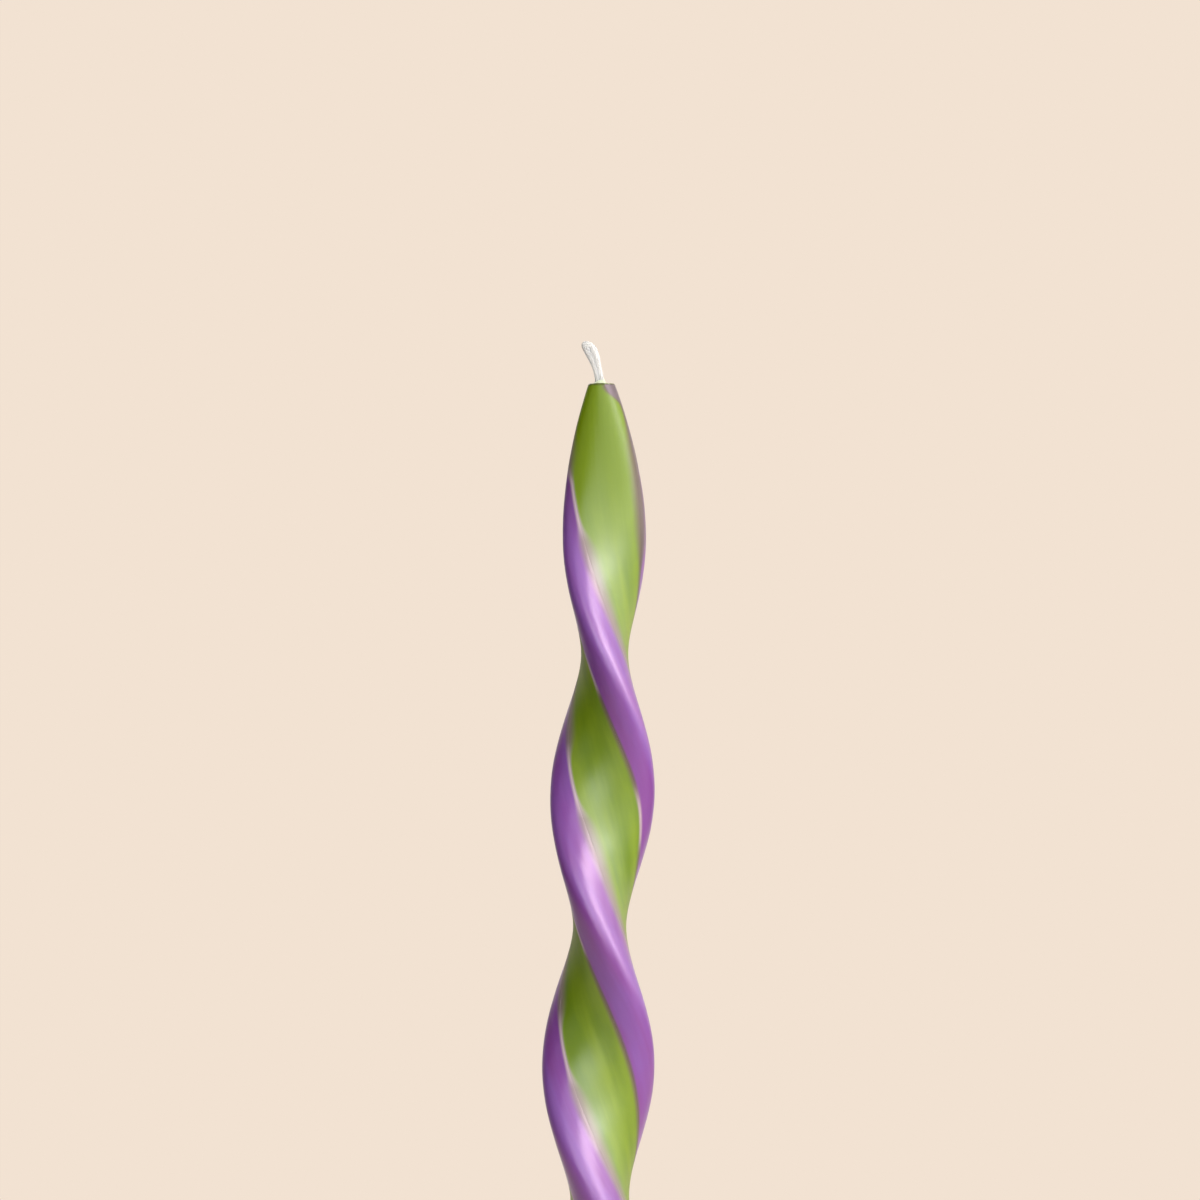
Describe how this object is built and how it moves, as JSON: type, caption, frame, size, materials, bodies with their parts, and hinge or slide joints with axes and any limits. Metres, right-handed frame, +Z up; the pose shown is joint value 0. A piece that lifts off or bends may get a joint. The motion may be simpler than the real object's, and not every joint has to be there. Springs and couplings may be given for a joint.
{
  "type": "spiral candle",
  "caption": "Tall green taper candle rolled flat and wound into a left-handed screw, with purple bands on its edges, a round foot and a looped white wick.",
  "frame": {"origin": "centre of the flat foot face, on the surface that the candle stands on", "axes": "+Z up along the candle to the wick, -Y the side seen in the picture, the wick's loop leans to -X"},
  "size_m": [0.03, 0.0294, 0.2907],
  "materials": {
    "core_wax": "undyed wax, satin",
    "green_wax": "dipped olive-green wax, semi-gloss",
    "purple_wax": "purple wax band, semi-gloss",
    "wick_cotton": "braided white cotton, lightly waxed"
  },
  "bodies": {
    "root": {"wax_core": "core_wax", "green_coat": "green_wax", "purple_band_a": "purple_wax", "purple_band_b": "purple_wax", "wick": "wick_cotton"}
  },
  "joints": []
}
